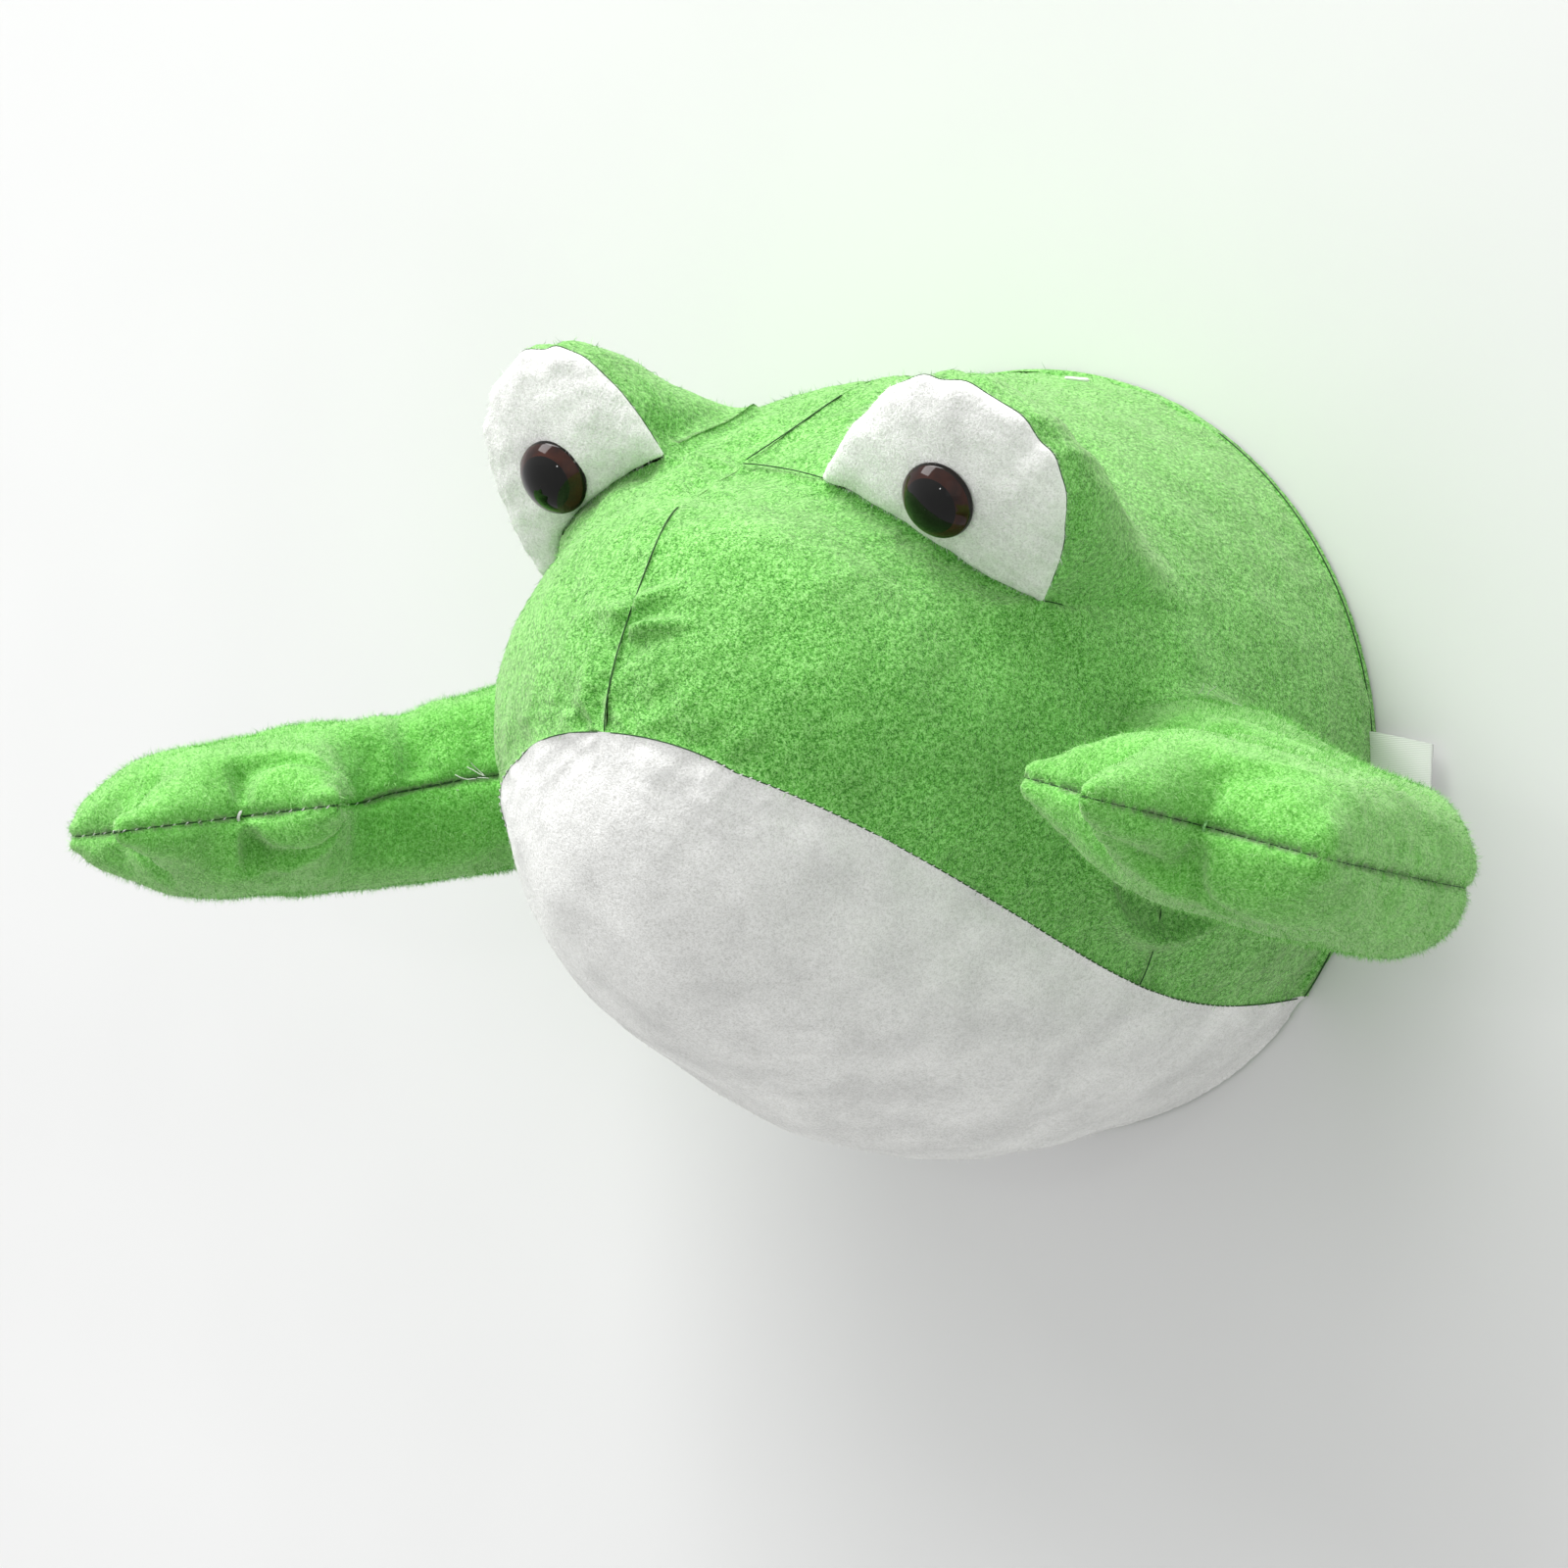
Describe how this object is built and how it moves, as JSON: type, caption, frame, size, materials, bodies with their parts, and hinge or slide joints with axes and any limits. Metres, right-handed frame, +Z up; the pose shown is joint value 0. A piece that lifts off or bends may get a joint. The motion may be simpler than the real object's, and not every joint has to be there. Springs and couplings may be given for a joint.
{
  "type": "plush frog wall bust",
  "caption": "Soft stuffed frog bust for a wall: round flat back, big snout, raised eye mounds with plastic safety eyes, and two bendable mitten arms reaching forward.",
  "frame": {"origin": "centre of the flat round back, on the face that lies against the wall", "axes": "-Y is the way the frog looks, away from the wall; +Z is up; +X is the frog's own left"},
  "size_m": [0.3889, 0.2129, 0.2159],
  "materials": {
    "green_fleece": "short brushed fleece, bright green",
    "white_felt": "short brushed felt, off-white",
    "polyester_fill": "loose polyester stuffing",
    "brown_plastic": "clear dark brown, polished dome",
    "black_plastic": "black, polished",
    "white_plastic": "natural nylon",
    "satin_label": "woven satin ribbon",
    "cotton_tape": "woven cotton tape",
    "fibreboard": "hard fibreboard"
  },
  "bodies": {
    "head": {"left_head_panel": "green_fleece", "right_head_panel": "green_fleece", "belly_panel": "white_felt", "back_panel": "green_fleece", "backing_board": "fibreboard", "head_stuffing": "polyester_fill", "left_eye_white": "white_felt", "right_eye_white": "white_felt", "left_eye_stuffing": "polyester_fill", "right_eye_stuffing": "polyester_fill", "left_eye_iris": "brown_plastic", "right_eye_iris": "brown_plastic", "left_eye_pupil": "black_plastic", "right_eye_pupil": "black_plastic", "left_eye_washer": "white_plastic", "right_eye_washer": "white_plastic", "tag_pin": "white_plastic"},
    "care_label": {"care_label": "satin_label"},
    "hanging_loop": {"hanging_loop": "cotton_tape"},
    "left_shoulder": {"left_shoulder_root": "green_fleece"},
    "left_upper_arm": {"left_upper_arm_top": "green_fleece", "left_upper_arm_bottom": "green_fleece", "left_upper_arm_stuffing": "polyester_fill"},
    "left_hand": {"left_hand_top": "green_fleece", "left_hand_bottom": "green_fleece", "left_hand_stuffing": "polyester_fill"},
    "right_shoulder": {"right_shoulder_root": "green_fleece"},
    "right_upper_arm": {"right_upper_arm_top": "green_fleece", "right_upper_arm_bottom": "green_fleece", "right_upper_arm_stuffing": "polyester_fill"},
    "right_hand": {"right_hand_top": "green_fleece", "right_hand_bottom": "green_fleece", "right_hand_stuffing": "polyester_fill"}
  },
  "joints": [
    {"name": "left_shoulder_sweep", "type": "hinge", "parent": "head", "child": "left_shoulder", "pos_m": [0.103, -0.08, -0.008], "axis": [0, 0, -1], "range_deg": [-20, 8], "stiffness_Nm_per_rad": 0.35},
    {"name": "left_shoulder_lift", "type": "hinge", "parent": "left_shoulder", "child": "left_upper_arm", "pos_m": [0.103, -0.08, -0.008], "axis": [0, -1, 0], "range_deg": [-30, 45], "stiffness_Nm_per_rad": 0.35},
    {"name": "left_elbow_bend", "type": "hinge", "parent": "left_upper_arm", "child": "left_hand", "pos_m": [0.14568, -0.08982, -0.01359], "axis": [-0.1705, -0.1908, -0.9667], "range_deg": [-25, 12], "stiffness_Nm_per_rad": 0.35},
    {"name": "right_shoulder_sweep", "type": "hinge", "parent": "head", "child": "right_shoulder", "pos_m": [-0.103, -0.08, -0.008], "axis": [0, 0, 1], "range_deg": [-20, 8], "stiffness_Nm_per_rad": 0.35},
    {"name": "right_shoulder_lift", "type": "hinge", "parent": "right_shoulder", "child": "right_upper_arm", "pos_m": [-0.103, -0.08, -0.008], "axis": [0, 1, 0], "range_deg": [-30, 45], "stiffness_Nm_per_rad": 0.35},
    {"name": "right_elbow_bend", "type": "hinge", "parent": "right_upper_arm", "child": "right_hand", "pos_m": [-0.14553, -0.09, -0.01436], "axis": [-0.1478, 0, 0.989], "range_deg": [-25, 12], "stiffness_Nm_per_rad": 0.35},
    {"name": "care_label_fold", "type": "hinge", "parent": "head", "child": "care_label", "pos_m": [0.103, -0.00275, 0], "axis": [0, 0, -1], "range_deg": [0, 80], "stiffness_Nm_per_rad": 0.0004},
    {"name": "hanging_loop_swing", "type": "hinge", "parent": "head", "child": "hanging_loop", "pos_m": [0, -0.0001, 0.0866], "axis": [1, 0, 0], "range_deg": [0, 80], "stiffness_Nm_per_rad": 0.0006}
  ]
}
